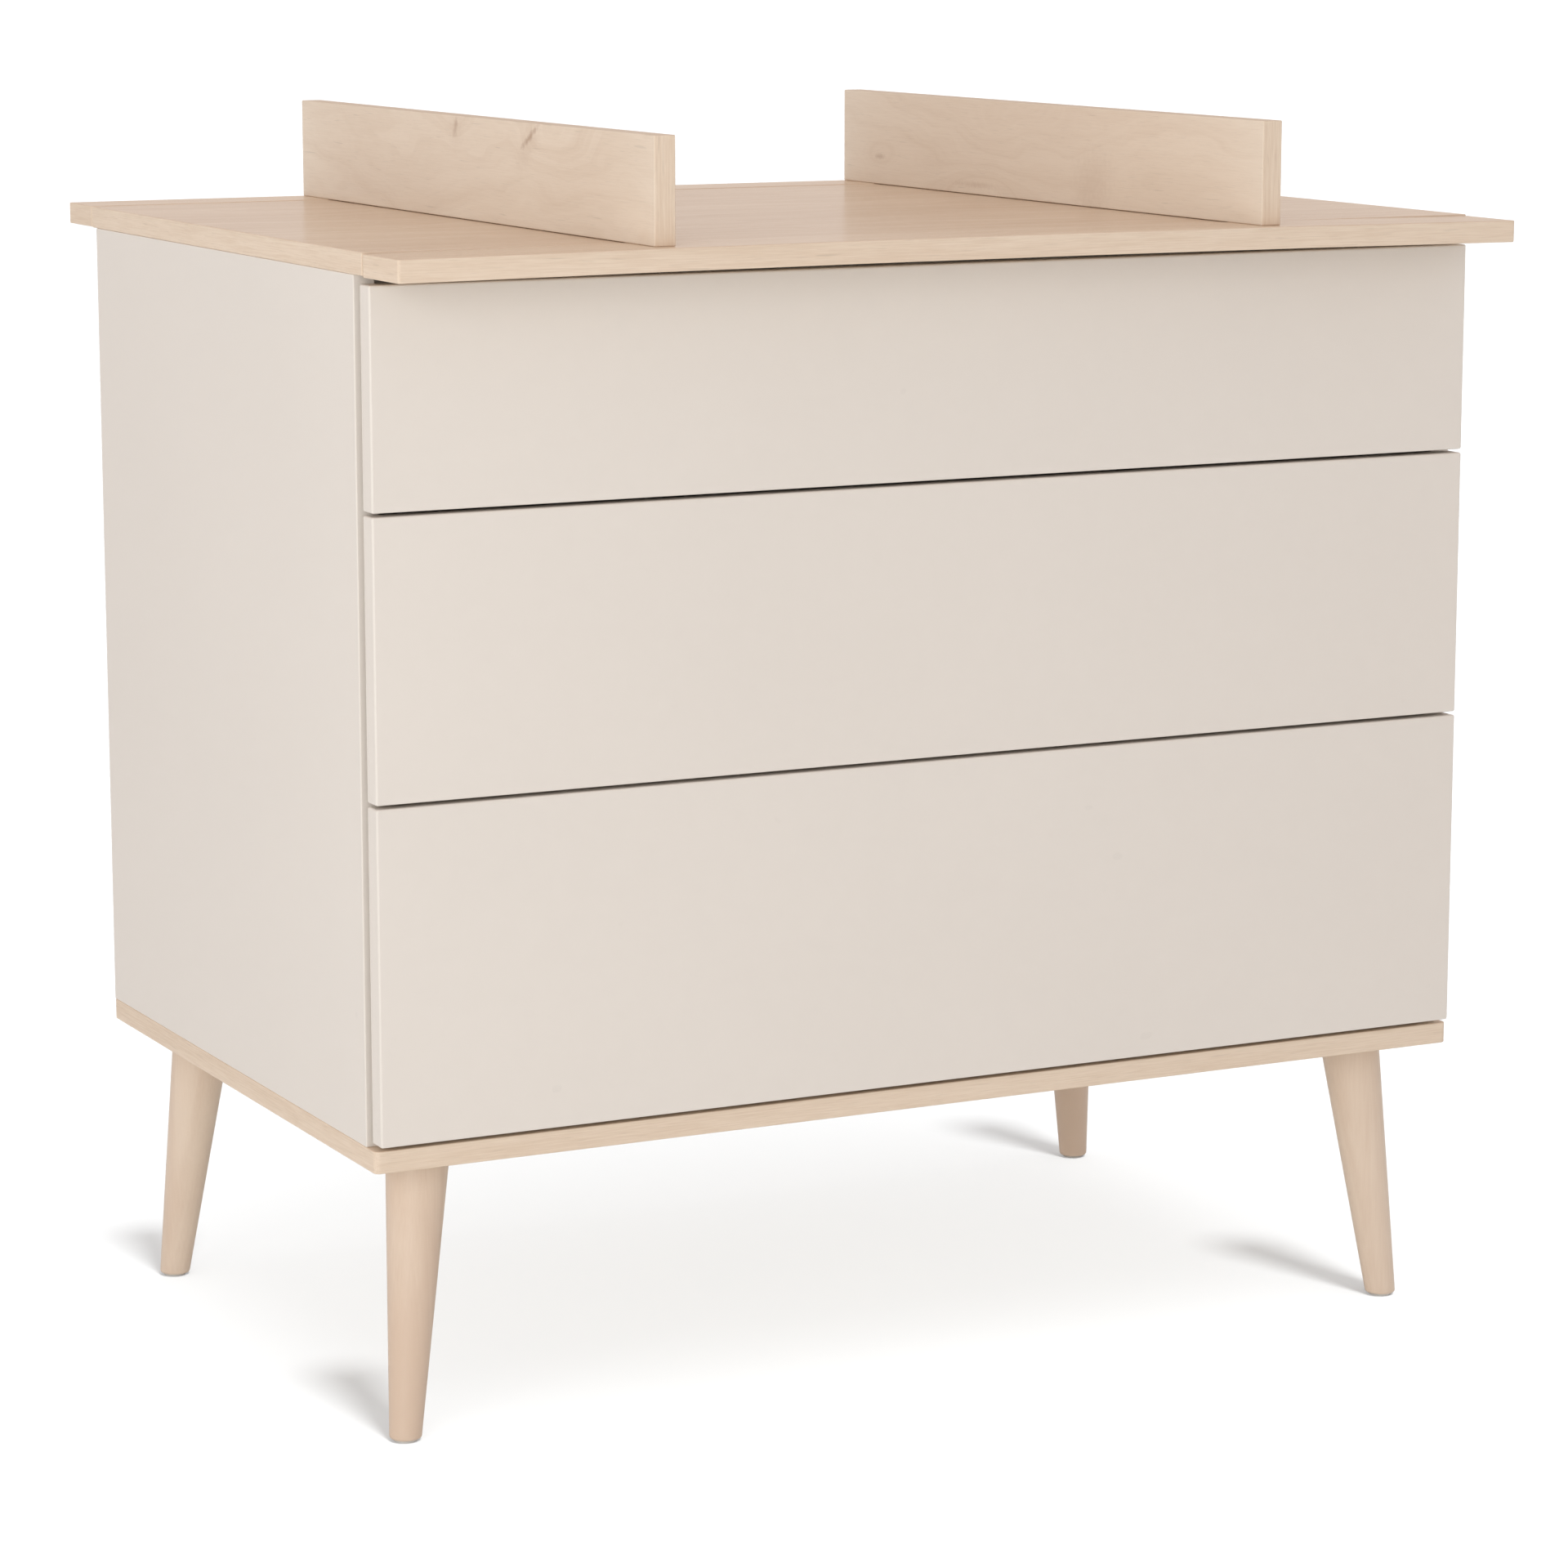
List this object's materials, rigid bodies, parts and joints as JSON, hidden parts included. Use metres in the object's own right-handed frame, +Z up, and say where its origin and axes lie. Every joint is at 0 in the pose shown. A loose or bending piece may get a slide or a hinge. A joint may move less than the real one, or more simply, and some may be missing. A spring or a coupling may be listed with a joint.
{
  "type": "changing table",
  "caption": "Handleless drawer dresser on splayed round legs, with a deepened top and two low mat boards for changing a baby.",
  "frame": {"origin": "on the floor, under the middle of the top's outline (width and depth over both extension strips)", "axes": "+Z up; front with the drawer fronts faces -Y; +X to the right of a person facing the front"},
  "size_m": [1.006, 0.757, 1.0374],
  "materials": {
    "stone_lacquer": "warm greige satin lacquer on board",
    "birch_veneer": "pale birch-look board, satin, fine grain",
    "birch_solid": "turned pale solid wood, satin",
    "pale_board": "off-white faced drawer and rail board, matt",
    "backing_board": "thin lacquered hardboard, matt",
    "zinc_steel": "bright zinc-plated rolled sheet",
    "screw_steel": "plated steel",
    "latch_plastic": "grey moulded plastic",
    "glide_plastic": "off-white glide plastic",
    "felt": "dark pressed felt"
  },
  "bodies": {
    "cabinet": {"back_panel": "backing_board", "base_board": "birch_veneer", "base_screws": "screw_steel", "front_extension_strip": "birch_veneer", "front_left_leg": "birch_solid", "front_right_leg": "birch_solid", "front_top_rail": "pale_board", "latch_housings": "latch_plastic", "left_side_panel": "stone_lacquer", "left_upright": "birch_veneer", "leg_bolts": "screw_steel", "leg_glides": "glide_plastic", "leg_inserts": "screw_steel", "lower_left_cabinet_rail": "zinc_steel", "lower_right_cabinet_rail": "zinc_steel", "main_top": "birch_veneer", "middle_left_cabinet_rail": "zinc_steel", "middle_right_cabinet_rail": "zinc_steel", "rear_extension_strip": "birch_veneer", "rear_left_leg": "birch_solid", "rear_right_leg": "birch_solid", "rear_top_rail": "pale_board", "right_side_panel": "stone_lacquer", "right_upright": "birch_veneer", "top_screws": "screw_steel", "upper_left_cabinet_rail": "zinc_steel", "upper_right_cabinet_rail": "zinc_steel", "upright_pads": "felt", "upright_screws": "screw_steel", "wall_brackets": "screw_steel"},
    "upper_drawer": {"upper_drawer_front": "stone_lacquer", "upper_drawer_left_side": "pale_board", "upper_drawer_right_side": "pale_board", "upper_drawer_back": "pale_board", "upper_drawer_bottom": "pale_board", "upper_left_drawer_rail": "zinc_steel", "upper_right_drawer_rail": "zinc_steel"},
    "upper_runner_middles": {"upper_left_middle_rail": "zinc_steel", "upper_right_middle_rail": "zinc_steel"},
    "upper_latch": {"upper_latch_pins": "latch_plastic"},
    "middle_drawer": {"middle_drawer_front": "stone_lacquer", "middle_drawer_left_side": "pale_board", "middle_drawer_right_side": "pale_board", "middle_drawer_back": "pale_board", "middle_drawer_bottom": "pale_board", "middle_left_drawer_rail": "zinc_steel", "middle_right_drawer_rail": "zinc_steel"},
    "middle_runner_middles": {"middle_left_middle_rail": "zinc_steel", "middle_right_middle_rail": "zinc_steel"},
    "middle_latch": {"middle_latch_pins": "latch_plastic"},
    "lower_drawer": {"lower_drawer_front": "stone_lacquer", "lower_drawer_left_side": "pale_board", "lower_drawer_right_side": "pale_board", "lower_drawer_back": "pale_board", "lower_drawer_bottom": "pale_board", "lower_left_drawer_rail": "zinc_steel", "lower_right_drawer_rail": "zinc_steel"},
    "lower_runner_middles": {"lower_left_middle_rail": "zinc_steel", "lower_right_middle_rail": "zinc_steel"},
    "lower_latch": {"lower_latch_pins": "latch_plastic"}
  },
  "joints": [
    {"name": "upper_drawer_slide", "type": "slide", "parent": "cabinet", "child": "upper_drawer", "axis": [0, -1, 0], "range_m": [0, 0.45]},
    {"name": "upper_runner_slide", "type": "slide", "parent": "cabinet", "child": "upper_runner_middles", "axis": [0, -1, 0], "range_m": [0, 0.225]},
    {"name": "upper_latch_press", "type": "slide", "parent": "cabinet", "child": "upper_latch", "axis": [0, 1, 0], "range_m": [0, 0.003], "stiffness_N_per_m": 300, "springref_m": -0.005},
    {"name": "middle_drawer_slide", "type": "slide", "parent": "cabinet", "child": "middle_drawer", "axis": [0, -1, 0], "range_m": [0, 0.45]},
    {"name": "middle_runner_slide", "type": "slide", "parent": "cabinet", "child": "middle_runner_middles", "axis": [0, -1, 0], "range_m": [0, 0.225]},
    {"name": "middle_latch_press", "type": "slide", "parent": "cabinet", "child": "middle_latch", "axis": [0, 1, 0], "range_m": [0, 0.003], "stiffness_N_per_m": 300, "springref_m": -0.005},
    {"name": "lower_drawer_slide", "type": "slide", "parent": "cabinet", "child": "lower_drawer", "axis": [0, -1, 0], "range_m": [0, 0.45]},
    {"name": "lower_runner_slide", "type": "slide", "parent": "cabinet", "child": "lower_runner_middles", "axis": [0, -1, 0], "range_m": [0, 0.225]},
    {"name": "lower_latch_press", "type": "slide", "parent": "cabinet", "child": "lower_latch", "axis": [0, 1, 0], "range_m": [0, 0.003], "stiffness_N_per_m": 300, "springref_m": -0.005}
  ],
  "couplings": [
    {"joint": "upper_runner_slide", "follows": "upper_drawer_slide", "ratio": 0.5},
    {"joint": "middle_runner_slide", "follows": "middle_drawer_slide", "ratio": 0.5},
    {"joint": "lower_runner_slide", "follows": "lower_drawer_slide", "ratio": 0.5}
  ]
}
